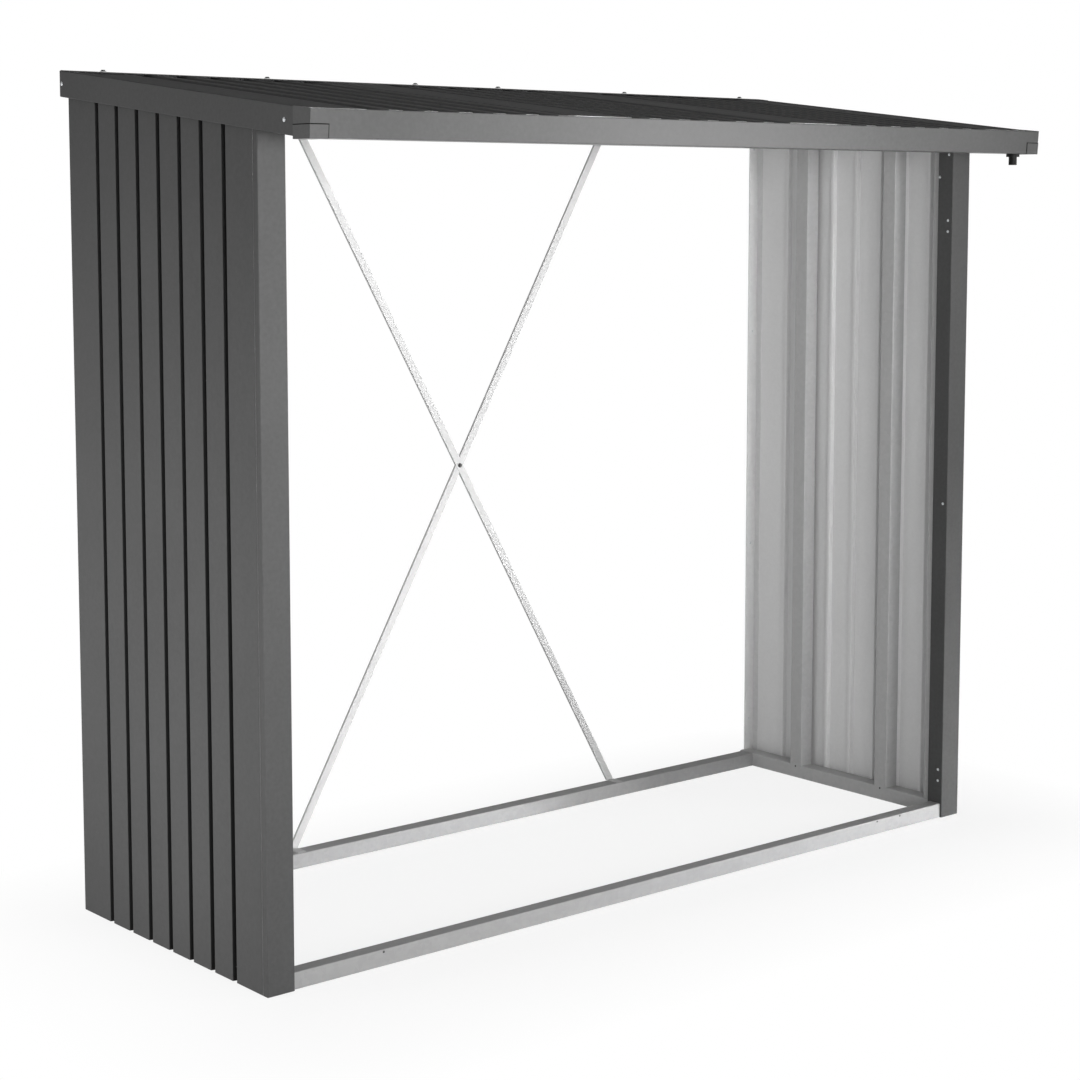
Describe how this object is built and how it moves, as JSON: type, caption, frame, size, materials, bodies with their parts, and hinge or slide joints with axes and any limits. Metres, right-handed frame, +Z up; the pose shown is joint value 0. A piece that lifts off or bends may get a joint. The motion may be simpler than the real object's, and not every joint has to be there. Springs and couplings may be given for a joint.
{
  "type": "log store",
  "caption": "Open-fronted lean-to log store of folded sheet steel: dark grooved side walls, galvanised frame with a crossed brace at the back, ribbed roof and front gutter.",
  "frame": {"origin": "on the floor, under the middle of the whole store", "axes": "+X along the width to the right seen from the open front, +Y from the front to the back, +Z up"},
  "size_m": [2.29, 1.02, 1.9818],
  "materials": {
    "painted_steel": "satin",
    "galvanised_steel": "satin",
    "black_plastic": "matte"
  },
  "bodies": {
    "root": {"left_front_post": "painted_steel", "right_front_post": "painted_steel", "left_wall_sheet": "painted_steel", "right_wall_sheet": "painted_steel", "roof_sheet_left": "painted_steel", "roof_sheet_middle": "painted_steel", "roof_sheet_right": "painted_steel", "left_verge_trim": "painted_steel", "right_verge_trim": "painted_steel", "rear_trim": "painted_steel", "gutter": "painted_steel", "left_gutter_cap": "painted_steel", "right_gutter_cap": "painted_steel", "front_floor_rail": "galvanised_steel", "rear_floor_rail": "galvanised_steel", "left_floor_rail": "galvanised_steel", "right_floor_rail": "galvanised_steel", "left_front_angle": "galvanised_steel", "right_front_angle": "galvanised_steel", "left_rear_post": "galvanised_steel", "right_rear_post": "galvanised_steel", "left_front_stud": "galvanised_steel", "left_rear_stud": "galvanised_steel", "right_front_stud": "galvanised_steel", "right_rear_stud": "galvanised_steel", "left_top_rail": "galvanised_steel", "right_top_rail": "galvanised_steel", "front_beam": "galvanised_steel", "rear_beam": "galvanised_steel", "front_brace_strip": "galvanised_steel", "rear_brace_strip": "galvanised_steel", "gutter_outlet": "black_plastic"}
  },
  "joints": []
}
